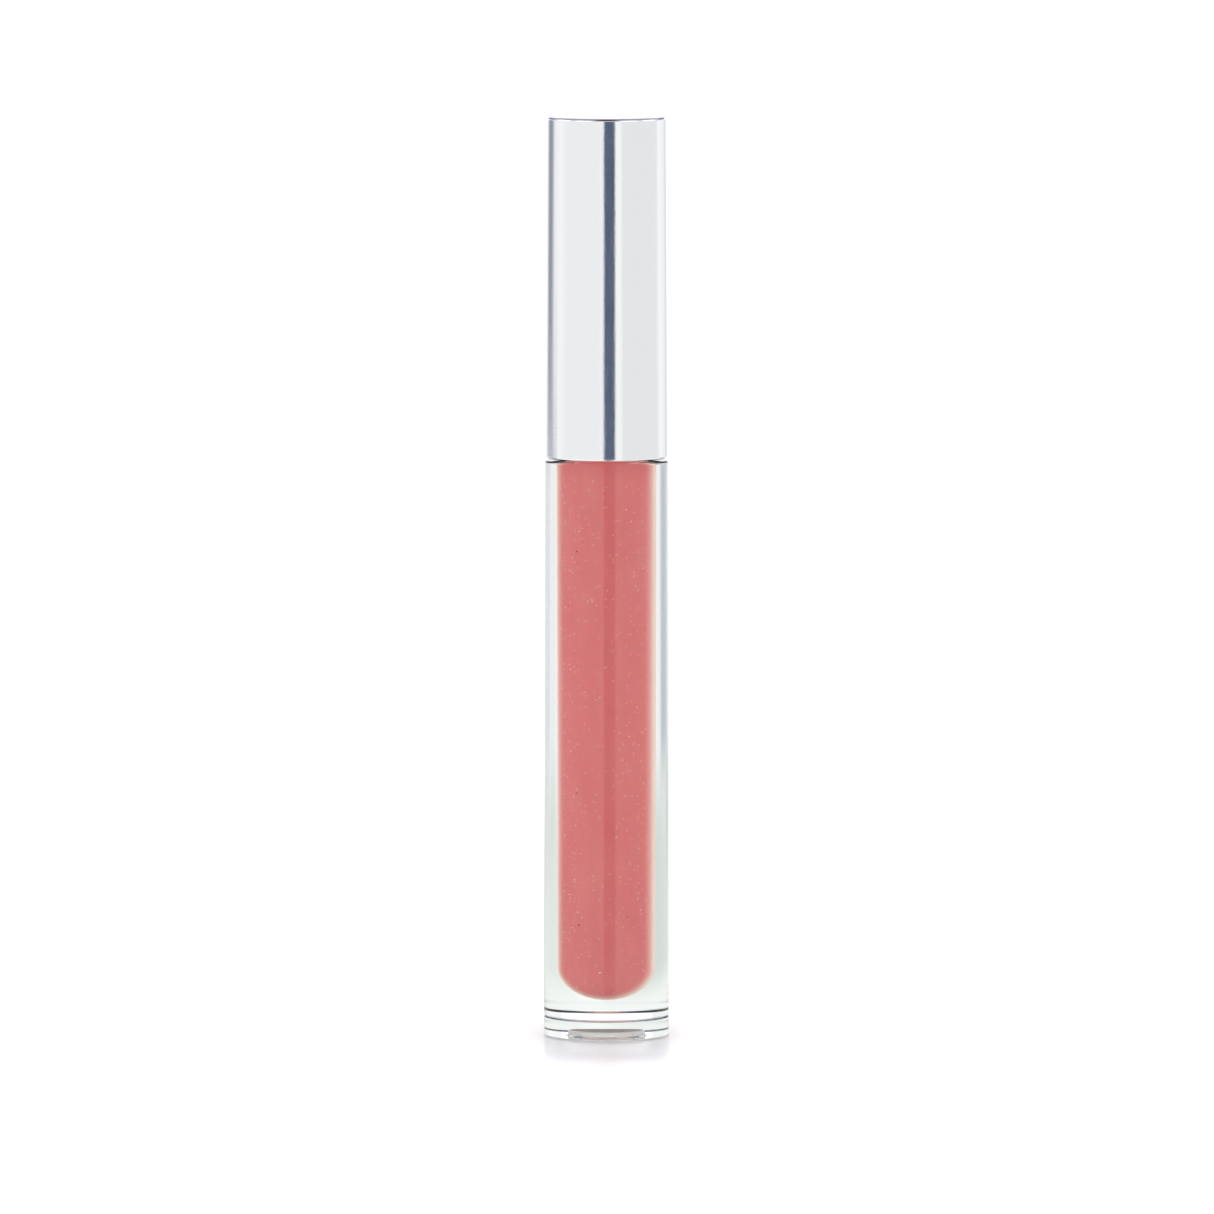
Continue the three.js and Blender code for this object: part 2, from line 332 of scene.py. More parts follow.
def speck_mask(tree, scale, size, rarity):
    """Small round specks in random cells: 1 in a speck and 0 elsewhere. Scale is in cells per metre."""
    cells = add(tree, "ShaderNodeTexVoronoi", Scale=scale)
    tree.links.new(object_place(tree), cells.inputs["Vector"])
    near = calculate(tree, "LESS_THAN", cells.outputs["Distance"], size)
    chance = add(tree, "ShaderNodeSeparateColor")
    tree.links.new(cells.outputs["Color"], chance.inputs[0])
    chosen = calculate(tree, "GREATER_THAN", chance.outputs["Red"], rarity)
    return calculate(tree, "MULTIPLY", near, chosen)


def add_bump(tree, shader, height, strength, distance):
    node = add(tree, "ShaderNodeBump", Strength=strength, Distance=distance)
    tree.links.new(height, node.inputs["Height"])
    tree.links.new(node.outputs["Normal"], shader.inputs["Normal"])


# ---------------------------------------------------------------- materials

def clear_plastic():
    """Polished clear plastic, very slightly green in its thickness."""
    material, tree, shader = new_material(
        "clear_plastic",
        Base_Color=(0.955, 0.98, 0.965, 1),
        Roughness=0.0,
        IOR=1.57,
        Transmission_Weight=1.0,
    )
    return material


def frosted_plastic_painted_glow():
    """The textured wall of the recess under the foot, with a faint painted glow standing in for the light its
    plastic gathers.
    """
    material, tree, shader = new_material(
        "frosted_plastic_painted_glow",
        Base_Color=(0.93, 0.95, 0.93, 1),
        IOR=1.57,
        Transmission_Weight=0.45,
        # Painted glow: a faint warm emission that brightens the recess wall.
        Emission_Color=(1.0, 0.98, 0.92, 1),
        Emission_Strength=0.15,
    )
    grain = object_noise(tree, 5000, detail=4, roughness=0.7)
    rough = remap(tree, grain, target=(0.35, 0.7))
    tree.links.new(rough, shader.inputs["Roughness"])
    add_bump(tree, shader, grain, 0.4, 0.00003)
    return material


def wetted_bore():
    """The bore wall where gloss touches it: the two have almost one index, so the wall vanishes."""
    material = bpy.data.materials.new("wetted_bore")
    material.use_nodes = True
    tree = material.node_tree
    tree.nodes.clear()
    clear = add(tree, "ShaderNodeBsdfTransparent")
    output = add(tree, "ShaderNodeOutputMaterial")
    tree.links.new(clear.outputs["BSDF"], output.inputs["Surface"])
    return material


# Painted light on the gloss: how much paler its +X side is drawn, the pale colour painted on its rim, and the
# warm glows painted on its rim and through its body.
PAINTED_LIGHT_RIGHT = 0.08
PAINTED_RIM_LIGHT = (1.0, 0.8, 0.68)
PAINTED_RIM_GLOW = (1.0, 0.87, 0.72)
PAINTED_BODY_GLOW = (1.0, 0.255, 0.245)


def gloss_material():
    """Milky pink gloss that scatters in its body. It has a painted glow all through it, and a painted paler,
    brighter rim that is stronger on its +X side. It is clearer where it is seen edge-on.
    """
    material, tree, shader = new_material(
        "lip_gloss",
        Roughness=0.3,
        IOR=1.03,
        Subsurface_Weight=0.3,
        Subsurface_Scale=0.0015,
        Subsurface_Radius=(1.0, 0.35, 0.3),
    )
    clouds = object_noise(tree, 330, (1, 1, 0.3), detail=5, roughness=0.6)
    color = ramp(tree, clouds, [
        (0.32, (0.955, 0.225, 0.23)),
        (0.5, (0.965, 0.25, 0.25)),
        (0.68, (0.975, 0.285, 0.275)),
    ])
    pale_specks = speck_mask(tree, 3000, 0.24, 0.86)
    deep_specks = speck_mask(tree, 420, 0.05, 0.8)
    color = mixed(tree, pale_specks, color, (1.0, 0.6, 0.52))
    color = mixed(tree, deep_specks, color, (0.35, 0.05, 0.05))

    facing = add(tree, "ShaderNodeLayerWeight", Blend=0.5).outputs["Facing"]
    across = add(tree, "ShaderNodeSeparateXYZ")
    tree.links.new(object_place(tree), across.inputs[0])
    # Painted light: this mask is high towards the rim, by facing, and higher on the +X side. Where it is
    # high, the gloss is painted paler, standing in for light shining through its thinner edges.
    side = calculate(tree, "MULTIPLY_ADD", across.outputs["X"], PAINTED_LIGHT_RIGHT / (BORE_RADIUS * MM), facing)
    thin = remap(tree, side, (0.4, 0.88), soft=True)
    tree.links.new(mixed(tree, thin, color, PAINTED_RIM_LIGHT), shader.inputs["Base Color"])
    # Painted glow: a pink glow of 0.175 all through the gloss, rising to 0.375 with a paler colour on the
    # painted rim.
    glow = calculate(tree, "MULTIPLY_ADD", thin, 0.2, 0.175)
    tree.links.new(mixed(tree, thin, PAINTED_BODY_GLOW, PAINTED_RIM_GLOW), shader.inputs["Emission Color"])
    tree.links.new(glow, shader.inputs["Emission Strength"])

    wobble = calculate(tree, "MULTIPLY_ADD", clouds, 0.35, -0.175)
    uneven = calculate(tree, "ADD", facing, wobble)
    clearness = remap(tree, uneven, (0.6, 0.95), (0, 0.25), soft=True)
    through = add(tree, "ShaderNodeBsdfTransparent")
    blend = add(tree, "ShaderNodeMixShader")
    absorb = add(tree, "ShaderNodeVolumeAbsorption", Color=(0.95, 0.5, 0.35, 1), Density=260.0)
    output = tree.nodes["Material Output"]
    for source, socket in (
        (clearness, blend.inputs[0]),
        (shader.outputs["BSDF"], blend.inputs[1]),
        (through.outputs["BSDF"], blend.inputs[2]),
        (blend.outputs["Shader"], output.inputs["Surface"]),
        (absorb.outputs["Volume"], output.inputs["Volume"]),
    ):
        tree.links.new(source, socket)
    return material


def bubble_material():
    """Air bubbles in the gloss, drawn almost white, with a painted glow standing in for the light they catch
    from all round.
    """
    material, tree, shader = new_material(
        "bubble",
        Base_Color=(1.0, 0.94, 0.85, 1),
        Roughness=0.2,
        IOR=1.3,
        # Painted glow: emission that makes the bubbles read bright.
        Emission_Color=(1.0, 0.9, 0.78, 1),
        Emission_Strength=0.35,
    )
    return material


def silver_metal():
    """Bright plated shell: fine orange peel, lengthwise rub marks, uneven polish and tiny matt pits."""
    material, tree, shader = new_material(
        "silver_shell",
        Base_Color=(0.91, 0.915, 0.93, 1),
        Metallic=1.0,
    )
    peel = object_noise(tree, 4200, detail=3, roughness=0.6)
    rubbed = object_noise(tree, 5200, (1, 1, 0.04), detail=4, roughness=0.6)
    polish = remap(tree, rubbed, (0.35, 0.7), (0.06, 0.13))
    pits = speck_mask(tree, 4600, 0.3, 0.6)
    matt = calculate(tree, "MULTIPLY_ADD", pits, 0.045, polish, clamp=True)
    tree.links.new(matt, shader.inputs["Roughness"])
    relief = mixed(tree, 0.3, peel, rubbed, data_type="FLOAT")
    add_bump(tree, shader, relief, 0.3, 0.00002)
    return material


def simple_plastic(name, color, roughness, scatter=0.2):
    """A plain material with faint clouds of tone and a barely uneven surface."""
    material, tree, shader = new_material(
        name,
        Roughness=roughness,
        IOR=1.5,
        Subsurface_Weight=scatter,
        Subsurface_Scale=0.0008,
    )
    clouds = object_noise(tree, 900, detail=3)
    dark = tuple(0.94 * c for c in color)
    tint = ramp(tree, clouds, [(0.35, dark), (0.65, color)])
    tree.links.new(tint, shader.inputs["Base Color"])
    add_bump(tree, shader, clouds, 0.08, 0.00003)
    return material


def stem_material():
    """White moulded plastic, with a coat of pink gloss below the wiper that thins out in streaks."""
    material, tree, shader = new_material(
        "stem_plastic",
        IOR=1.5,
        Subsurface_Weight=0.2,
        Subsurface_Scale=0.0008,
        Coat_Weight=0.6,
        Coat_Roughness=0.08,
    )
    fade = 0.6
    place = add(tree, "ShaderNodeSeparateXYZ")
    tree.links.new(object_place(tree), place.inputs[0])
    streaks = object_noise(tree, 900, (1, 1, 0.12), detail=5, roughness=0.65)
    dipped = remap(tree, place.outputs["Z"], ((WIPER_END_Z + fade) * MM, (WIPER_END_Z - fade) * MM))
    thin = ramp(tree, streaks, [(0.3, grey(0.45)), (0.62, grey(1))])
    coat = calculate(tree, "MULTIPLY", dipped, thin)
    color = mixed(tree, coat, (0.8, 0.8, 0.78), (0.72, 0.2, 0.2))
    tree.links.new(color, shader.inputs["Base Color"])
    tree.links.new(remap(tree, coat, target=(0.38, 0.1)), shader.inputs["Roughness"])
    add_bump(tree, shader, streaks, 0.25, 0.00005)
    return material


def flock_material():
    """Pink nylon flock soaked in gloss: clumped, half matt and half wet."""
    material, tree, shader = new_material(
        "flock",
        IOR=1.5,
        Sheen_Weight=0.35,
        Sheen_Roughness=0.4,
        Subsurface_Weight=0.25,
        Subsurface_Scale=0.0006,
        Subsurface_Radius=(1.0, 0.4, 0.35),
    )
    clumps = object_noise(tree, 2300, (1, 1, 0.5), detail=4, roughness=0.65)
    tint = ramp(tree, clumps, [
        (0.3, (0.5, 0.09, 0.09)),
        (0.5, (0.68, 0.19, 0.19)),
        (0.7, (0.82, 0.36, 0.34)),
    ])
    wet = ramp(tree, clumps, [(0.35, grey(0.2)), (0.65, grey(0.65))])
    tree.links.new(tint, shader.inputs["Base Color"])
    tree.links.new(wet, shader.inputs["Roughness"])
    add_bump(tree, shader, clumps, 0.4, 0.00006)
    return material


CLEAR = clear_plastic()
FROSTED_PAINTED_GLOW = frosted_plastic_painted_glow()
WETTED = wetted_bore()
GLOSS = gloss_material()
SILVER = silver_metal()
LABEL_PAPER = simple_plastic("label_film", (0.9, 0.91, 0.88), 0.6, scatter=0)
POLYETHYLENE = simple_plastic("soft_polyethylene", (0.82, 0.83, 0.81), 0.4)
LINER_PLASTIC = simple_plastic("liner_plastic", (0.86, 0.86, 0.84), 0.35)
SEAL_FOAM = simple_plastic("seal_foam", (0.85, 0.85, 0.82), 0.7)
STEM_PLASTIC = stem_material()
FLOCK = flock_material()
BUBBLE = bubble_material()


# ---------------------------------------------------------------- the bottle

def make_bottle_body():
    seam_fillet = 0.2
    shoulder_fillet = 0.3
    rim = 0.2
    thread_depth = 0.6
    thread_half_width = 0.55
    thread_low = SHOULDER_Z + 2
    thread_high = SHOULDER_Z + 9
    outline = [(0, BODY_FLOOR_Z)]
    outline += arc(FOOT_RADIUS - seam_fillet, BODY_FLOOR_Z + seam_fillet, seam_fillet, -90, 0)
    outline += arc(SHOULDER_RADIUS - shoulder_fillet, SHOULDER_Z - shoulder_fillet, shoulder_fillet, 0, 90)
    outline += arc(NECK_RADIUS + rim, SHOULDER_Z + rim, rim, -90, -180)
    outline += column(NECK_RADIUS, thread_low, thread_high, THREAD_DETAIL)
    outline += arc(NECK_RADIUS - rim, NECK_TOP_Z - rim, rim, 0, 90)
    outline += arc(BORE_RADIUS + rim, NECK_TOP_Z - rim, rim, 90, 180)
    outline += [(bore_radius(FILL_TOP_Z), FILL_TOP_Z)]
    outline += arc(0, BORE_ROUND_Z, BORE_FLOOR_RADIUS, 0, -90, BORE_FLOOR_STEPS)

    def threaded(angle, radius, z):
        if abs(radius - NECK_RADIUS) > NOTHING:
            return radius
        return radius + thread_depth * thread_height(angle, z, THREAD_START_Z, thread_half_width)

    vertices, faces = revolved(outline, relief=threaded)
    obj = piece("bottle_body_clear", vertices, faces, "bottle", [CLEAR, WETTED],
                replaces="bottle_body")
    bore_edge = (BORE_RADIUS + 0.01) * MM
    lowest = 0.99 * BORE_FLOOR_Z * MM
    for polygon in obj.data.polygons:
        x, y, z = polygon.center
        if math.hypot(x, y) < bore_edge and lowest < z < FILL_TOP_Z * MM:
            polygon.material_index = 1
    return obj


def make_base_plug():
    """Clear disc with a textured recess underneath, on a narrow weld rib that leaves the air gap."""
    recess = LABEL_RADIUS + 0.2
    ceiling_fillet = 0.15
    lip = 0.2
    lip_radius = recess + 0.25
    foot = 0.14
    seam = 0.14
    rib_inner = 5.9
    rib_outer = 6.2
    outline = [(0, RECESS_DEPTH)]
    outline += arc(recess - ceiling_fillet, RECESS_DEPTH - ceiling_fillet, ceiling_fillet, 90, 0)
    outline += arc(lip_radius, lip, lip, 180, 270)
    outline += arc(FOOT_RADIUS - foot, foot, foot, -90, 0)
    outline += arc(FOOT_RADIUS - seam, PLUG_HEIGHT - seam, seam, 0, 90)
    outline += [(rib_outer, PLUG_HEIGHT), (rib_outer, BODY_FLOOR_Z)]
    outline += [(rib_inner, BODY_FLOOR_Z), (rib_inner, PLUG_HEIGHT), (0, PLUG_HEIGHT)]
    vertices, faces = revolved(outline)
    obj = piece("base_plug_clear", vertices, faces, "bottle", [CLEAR, FROSTED_PAINTED_GLOW],
                replaces="base_plug")
    # These recess faces take the frosted material with its painted glow.
    textured_radius = (recess + 0.2) * MM
    textured_low = 0.1 * MM
    textured_high = (RECESS_DEPTH + 0.01) * MM
    for polygon in obj.data.polygons:
        x, y, z = polygon.center
        if math.hypot(x, y) < textured_radius and textured_low < z < textured_high:
            polygon.material_index = 1
    return obj


def make_base_label():
    edge = 0.04
    top = RECESS_DEPTH + 0.02
    outline = [(0, LABEL_FLOOR_Z)]
    outline += arc(LABEL_RADIUS - edge, LABEL_FLOOR_Z + edge, edge, -90, 0, 4)
    outline += [(LABEL_RADIUS, top), (0, top)]
    vertices, faces = revolved(outline)
    return piece("base_label_sticker", vertices, faces, "bottle", [LABEL_PAPER],
                 replaces="base_label")


def make_gloss():
    """The gloss, a hair wider than the bore, so that nothing shows between the two."""
    overlap = 0.02
    top = FILL_TOP_Z - 0.01
    outline = arc(0, BORE_ROUND_Z, BORE_FLOOR_RADIUS + overlap, -90, 0, BORE_FLOOR_STEPS)
    outline += [(bore_radius(top) + overlap, top), (0, top)]
    vertices, faces = revolved(outline)
    return piece("gloss_liquid", vertices, faces, "bottle", [GLOSS], replaces="gloss_fill")


def make_bubbles():
    """Tiny air bubbles caught where the gloss meets the bore, most of them towards its two sides."""
    pick = random.Random(5)
    bubbles = 800
    lowest = 6.5
    span = SHOULDER_Z - 8
    side_share = 0.6
    side_angle = 58
    side_spread = 14
    sunk = 0.018
    smallest = 0.026
    size_range = 0.042
    vertices = []
    faces = []
    for _ in range(bubbles):
        z = lowest + span * pick.random()
        angle = 2 * math.pi * pick.random()
        if pick.random() < side_share:
            side = pick.choice((-1, 1))
            angle = -math.pi / 2 + side * math.radians(side_angle + pick.gauss(0, side_spread))
        size = smallest + size_range * pick.random() ** 4
        centre_radius = bore_radius(z) + sunk
        if z < BORE_ROUND_Z:
            centre_radius = math.sqrt(BORE_FLOOR_RADIUS ** 2 - (BORE_ROUND_Z - z) ** 2) + sunk
        centre = (centre_radius * math.cos(angle), centre_radius * math.sin(angle), z)
        start = len(vertices)
        for point in BALL_POINTS:
            vertices.append(tuple((centre[k] + size * point[k]) * MM for k in range(3)))
        faces += [[start + corner for corner in face] for face in BALL_FACES]
    return piece("gloss_bubbles", vertices, faces, "bottle", [BUBBLE])


def make_wiper():
    """Soft insert: a flange on the neck's rim, a barrel, and a cone down to the wiping lips."""
    outer = BORE_RADIUS - 0.05
    wall = 0.6
    orifice = 2.0
    lip = 0.3
    lip_rise = 0.1
    lip_top = WIPER_END_Z + 1.1
    flange = NECK_RADIUS - 0.1
    flange_under = 0.15
    flange_edge = 0.2
    mouth = 0.3
    cone_top = NECK_TOP_Z - 4.7
    outline = [(orifice, WIPER_END_Z + lip_rise)]
    outline += arc(orifice + lip, WIPER_END_Z + lip, lip, 180, 360, 8)
    outline += [(outer, cone_top), (outer, NECK_TOP_Z)]
    outline += arc(flange - flange_under, NECK_TOP_Z + flange_under, flange_under, -90, 0, SMALL_FILLET_STEPS)
    outline += arc(flange - flange_edge, WIPER_TOP_Z - flange_edge, flange_edge, 0, 90, SMALL_FILLET_STEPS)
    outline += arc(outer - wall + mouth, WIPER_TOP_Z - mouth, mouth, 90, 180, SMALL_FILLET_STEPS)
    outline += [(outer - wall, cone_top + wall), (orifice, lip_top)]
    vertices, faces = revolved(outline, closed=True)
    return piece("wiper_insert", vertices, faces, "bottle", [POLYETHYLENE],
                 replaces="wiper")


# ---------------------------------------------------------------- the cap and its wand

def make_cap_shell():
    wall = 0.5
    top_thickness = 0.6
    edge = 0.25
    corner = 0.35
    under = TOTAL_HEIGHT - top_thickness
    outline = [(0, under)]
    outline += arc(CAP_TOP_RADIUS - wall - corner, under - corner, corner, 90, 0)
    outline += arc(CAP_EDGE_RADIUS - edge, CAP_EDGE_Z + edge, edge, -180, 0, 16)
    outline += arc(CAP_TOP_RADIUS - corner, TOTAL_HEIGHT - corner, corner, 0, 90, 14)
    outline += [(0, TOTAL_HEIGHT)]
    vertices, faces = revolved(outline)
    return piece("cap_shell_silver", vertices, faces, "cap", [SILVER],
                 replaces="cap_overshell")


def make_cap_liner():
    """Moulded inner cap: thread for the neck, a web across, and a sleeve and a cored boss above it."""
    wall = 0.7
    socket = 6.15
    socket_corner = 0.3
    socket_mouth = 0.35
    thread_margin = 0.6
    thread_depth = 0.42
    thread_half_width = 0.5
    web_z = WIPER_TOP_Z + 0.8
    web_top = web_z + 1.2
    outer_edge = CAP_EDGE_RADIUS - 0.57
    outer_top = CAP_TOP_RADIUS - 0.76
    boss = 2.7
    stem_socket = STEM_RADIUS + 0.05
    socket_top = STEM_TOP_Z + 0.3
    snap_depth = 0.22
    snap_half_height = 0.55
    core_floor = socket_top + 2
    edge = 0.15
    steps = SMALL_FILLET_STEPS
    outline = [(0, socket_top), (stem_socket, socket_top)]
    outline += [(stem_socket, SNAP_BEAD_Z + snap_half_height), (stem_socket + snap_depth, SNAP_BEAD_Z)]
    outline += [(stem_socket, SNAP_BEAD_Z - snap_half_height)]
    outline += arc(stem_socket + edge, web_z + edge, edge, 180, 270, steps)
    outline += arc(socket - socket_corner, web_z - socket_corner, socket_corner, 90, 0, steps)
    outline += column(socket, web_z - thread_margin, LINER_EDGE_Z + thread_margin, THREAD_DETAIL)
    outline += arc(socket + socket_mouth, LINER_EDGE_Z + socket_mouth, socket_mouth, 180, 270, steps)
    outline += arc(outer_edge - edge, LINER_EDGE_Z + edge, edge, -90, 0, steps)
    outline += [(outer_top, LINER_TOP_Z), (outer_top - wall, LINER_TOP_Z), (outer_top - wall, web_top)]
    outline += [(boss, web_top), (boss, LINER_TOP_Z), (stem_socket, LINER_TOP_Z)]
    outline += [(stem_socket, core_floor), (0, core_floor)]
    thread_start = THREAD_START_Z - THREAD_PITCH / 2

    def threaded(angle, radius, z):
        if abs(radius - socket) > NOTHING:
            return radius
        return radius - thread_depth * thread_height(angle, z, thread_start, thread_half_width)

    vertices, faces = revolved(outline, relief=threaded)
    return piece("cap_liner_moulded", vertices, faces, "cap", [LINER_PLASTIC],
                 replaces="cap_liner")


def make_cap_gasket():
    """Pressed foam ring, with the dent that the wiper's flange leaves in it."""
    low = bottom_of("cap_gasket")
    high = top_of("cap_gasket")
    inner = 2.0
    outer = radius_of("cap_gasket")
    edge = 0.12
    dent = 0.05
    dent_inner = 3.2
    dent_outer = 4.8
    dent_slope = 0.3
    outline = arc(inner + edge, low + edge, edge, 180, 270, 4)
    outline += [(dent_inner - dent_slope, low), (dent_inner, low + dent)]
    outline += [(dent_outer, low + dent), (dent_outer + dent_slope, low)]
    outline += arc(outer - edge, low + edge, edge, -90, 0, 4)
    outline += arc(outer - edge, high - edge, edge, 0, 90, 4)
    outline += arc(inner + edge, high - edge, edge, 90, 180, 4)
    vertices, faces = revolved(outline, closed=True, segments=GASKET_SEGMENTS)
    return piece("cap_gasket_foam", vertices, faces, "cap_seal", [SEAL_FOAM],
                 replaces="cap_gasket")


def make_wand_stem():
    """Straight moulded rod with its snap bead, and a thin uneven coat of gloss where it has been dipped."""
    chamfer = 0.1
    plug = 0.85
    plug_top = STEM_END_Z + 3.3
    bead = STEM_RADIUS + 0.15
    bead_flat = 0.08
    bead_foot = 0.45
    dry_from = WIPER_END_Z - 0.5
    coat = 0.02
    ripple = 0.012
    outline = [(0, plug_top), (plug, plug_top), (plug, STEM_END_Z)]
    outline += arc(STEM_RADIUS - chamfer, STEM_END_Z + chamfer, chamfer, -90, 0, 4)
    outline += column(STEM_RADIUS, STEM_END_Z + 3 * chamfer, WIPER_END_Z, 0.25)
    outline += [(STEM_RADIUS, SNAP_BEAD_Z - bead_foot), (bead, SNAP_BEAD_Z - bead_flat)]
    outline += [(bead, SNAP_BEAD_Z + bead_flat), (STEM_RADIUS, SNAP_BEAD_Z + bead_foot)]
    outline += arc(STEM_RADIUS - chamfer, STEM_TOP_Z - chamfer, chamfer, 0, 90, 4)
    outline += [(0, STEM_TOP_Z)]

    def coated(angle, radius, z):
        if abs(radius - STEM_RADIUS) > NOTHING or z > dry_from:
            return radius
        swirl = math.sin(3 * angle + 0.9 * z) + math.sin(2 * angle - 0.37 * z + 1)
        return radius + coat + ripple * swirl

    vertices, faces = revolved(outline, segments=STEM_SEGMENTS, relief=coated)
    return piece("wand_stem_rod", vertices, faces, "cap", [STEM_PLASTIC],
                 replaces="wand_stem")


def tip_radius(z):
    """Radius of the whole tip before its slant is cut: a round nose, a slight belly and a neck."""
    nose = 1.3
    if z < TIP_END_Z + nose:
        down = TIP_END_Z + nose - z
        return math.sqrt(max(0, nose * nose - down * down))
    stops = [
        (TIP_END_Z + nose, nose),
        (TIP_END_Z + 2.6, 1.62),
        (TIP_END_Z + 4, TIP_BELLY),
        (TIP_END_Z + 5.5, TIP_BELLY),
        (TIP_END_Z + 7, 1.58),
        (STEM_END_Z, 1.42),
    ]
    for (z0, r0), (z1, r1) in zip(stops, stops[1:]):
        if z <= z1:
            return r0 + (r1 - r0) * smooth((z - z0) / (z1 - z0))
    return stops[-1][1]


def tip_point(angle, z, extra=0):
    """A point on the tip's surface, with the slanted face pressed in softly on its +X side."""
    softness = 0.12
    face_depth = 0.85
    face_middle = TIP_END_Z + 4
    slant = math.tan(math.radians(17))
    radius = tip_radius(z) + extra
    x = radius * math.cos(angle)
    y = radius * math.sin(angle)
    face_x = face_depth + (z - face_middle) * slant + extra
    gap = (face_x - x) / softness
    if gap < 8:
        x = face_x - softness * math.log1p(math.exp(gap)) if gap > -30 else face_x
    return x, y, z


def make_tip():
    """The padded core of the doe-foot, with its round plug in the stem's end."""
    rings = 60
    around = 72
    nose_crowding = 0.35
    plug_radius = 0.8
    plug_top = STEM_END_Z + 3
    vertices = [(0, 0, TIP_END_Z * MM)]
    for k in range(1, rings + 1):
        t = k / rings
        along = t * t * nose_crowding + t * (1 - nose_crowding)
        for i in range(around):
            point = tip_point(2 * math.pi * i / around, TIP_END_Z + (STEM_END_Z - TIP_END_Z) * along)
            vertices.append(tuple(MM * value for value in point))
    faces = []
    for i in range(around):
        faces.append([0, 1 + (i + 1) % around, 1 + i])
    for k in range(rings - 1):
        for i in range(around):
            j = (i + 1) % around
            low = 1 + k * around
            high = low + around
            faces.append([low + i, low + j, high + j, high + i])
    last = 1 + (rings - 1) * around
    for z in (STEM_END_Z, plug_top):
        start = len(vertices)
        for i in range(around):
            angle = 2 * math.pi * i / around
            vertices.append((plug_radius * MM * math.cos(angle), plug_radius * MM * math.sin(angle), z * MM))
        for i in range(around):
            j = (i + 1) % around
            faces.append([last + i, last + j, start + j, start + i])
        last = start
    faces.append([last + i for i in range(around)])
    return piece("doe_foot_core", vertices, faces, "cap", [FLOCK], replaces="doe_foot_tip",
                 crease=50)


def make_flock():
    """Short fibres all over the tip, lying mostly towards the stem, in gloss-wet tufts."""
    pick = random.Random(11)
    fibres = 5200
    low_margin = 0.15
    high_margin = 0.35
    rooted = -0.03
    shortest = 0.1
    width = 0.014
    vertices = []
    faces = []
    for _ in range(fibres):
        z = TIP_END_Z + low_margin + (STEM_END_Z - high_margin - TIP_END_Z - low_margin) * pick.random()
        angle = 2 * math.pi * pick.random()
        base = tip_point(angle, z, rooted)
        tuft = 0.5 + 0.5 * math.sin(5 * angle + 1.7 * z) * math.sin(2.3 * z + 2 * angle)
        length = shortest + 0.06 * pick.random() + 0.03 * tuft
        lean = angle + 0.5 * (pick.random() - 0.5)
        end = tip_point(lean, z + 0.22 * (pick.random() + 0.4), length)
        start = len(vertices)
        side_x = -math.sin(angle) * width
        side_y = math.cos(angle) * width
        corners = (
            (base[0] + side_x, base[1] + side_y, base[2] - width),
            (base[0] - side_x, base[1] - side_y, base[2] - width),
            (base[0], base[1], base[2] + width),
            end,
        )
        vertices += [tuple(MM * value for value in corner) for corner in corners]
        faces += [[start, start + 1, start + 3], [start + 1, start + 2, start + 3],
                  [start + 2, start, start + 3], [start, start + 2, start + 1]]
    return piece("doe_foot_flock", vertices, faces, "cap", [FLOCK])


for build in (
    make_bottle_body,
    make_base_plug,
    make_base_label,
    make_gloss,
    make_bubbles,
    make_wiper,
    make_cap_shell,
    make_cap_liner,
    make_cap_gasket,
    make_wand_stem,
    make_tip,
    make_flock,
):
    build()


# ---------------------------------------------------------------- camera, floor and light

CAMERA_X = 0.00006
CAMERA_DISTANCE = 1.4
CAMERA_HEIGHT = 0.166
CAMERA_PITCH = 4.641
CAMERA_LENS = 341.73


def make_camera():
    data = bpy.data.cameras.new("camera")
    data.lens = CAMERA_LENS
    data.sensor_width = 36
    data.clip_start = 0.05
    data.clip_end = 50
    camera = bpy.data.objects.new("camera", data)
    camera.location = (CAMERA_X, -CAMERA_DISTANCE, CAMERA_HEIGHT)
    camera.rotation_euler = (math.radians(90 - CAMERA_PITCH), 0, 0)
    bpy.context.scene.collection.objects.link(camera)
    bpy.context.scene.camera = camera


make_camera()

FLOOR_SIZE = 8
FLOOR_GAP = 0.02
FLOOR_NARROWING = 3
# POLISHED_RADIUS and MATT_RADIUS also bound the painted shade round the foot.
POLISHED_RADIUS = 0.008
MATT_RADIUS = 0.06


def make_floor():
    """White table: slightly polished in front of and behind the foot, and matt away from it. Its glow is
    evenly bright away from the foot and falls close round the foot as a painted shade.
    """
    material, tree, shader = new_material(
        "floor_white",
        Base_Color=(0.92, 0.92, 0.92, 1),
        Roughness=0.2,
        IOR=1.45,
        Emission_Color=(1, 1, 1, 1),
    )
    narrow = add(tree, "ShaderNodeMapping")
    narrow.inputs["Scale"].default_value = (FLOOR_NARROWING, 1, 1)
    away = add(tree, "ShaderNodeVectorMath", operation="LENGTH")
    tree.links.new(object_place(tree), narrow.inputs["Vector"])
    tree.links.new(narrow.outputs["Vector"], away.inputs[0])
    distance = away.outputs["Value"]
    polish = remap(tree, distance, (POLISHED_RADIUS, MATT_RADIUS), (0.85, 0.0), soft=True)
    # Painted shade: the floor's glow drops from 0.58 away from the foot to 0.05 close round it, darkening the
    # floor there like a contact shadow. The zone is narrower across X than along Y.
    fill = remap(tree, distance, (POLISHED_RADIUS, 0.8 * MATT_RADIUS), (0.05, 0.58), soft=True)
    tree.links.new(polish, shader.inputs["Specular IOR Level"])
    tree.links.new(fill, shader.inputs["Emission Strength"])
    mesh = bpy.data.meshes.new("floor")
    corners = [(x * FLOOR_SIZE, y * FLOOR_SIZE, 0) for x, y in ((-1, -1), (1, -1), (1, 1), (-1, 1))]
    mesh.from_pydata(corners, [], [(0, 1, 2, 3)])
    mesh.materials.append(material)
    floor = bpy.data.objects.new("floor", mesh)
    floor.location.z = -FLOOR_GAP * MM
    floor.visible_glossy = False
    floor.visible_transmission = False
    bpy.context.scene.collection.objects.link(floor)


make_floor()

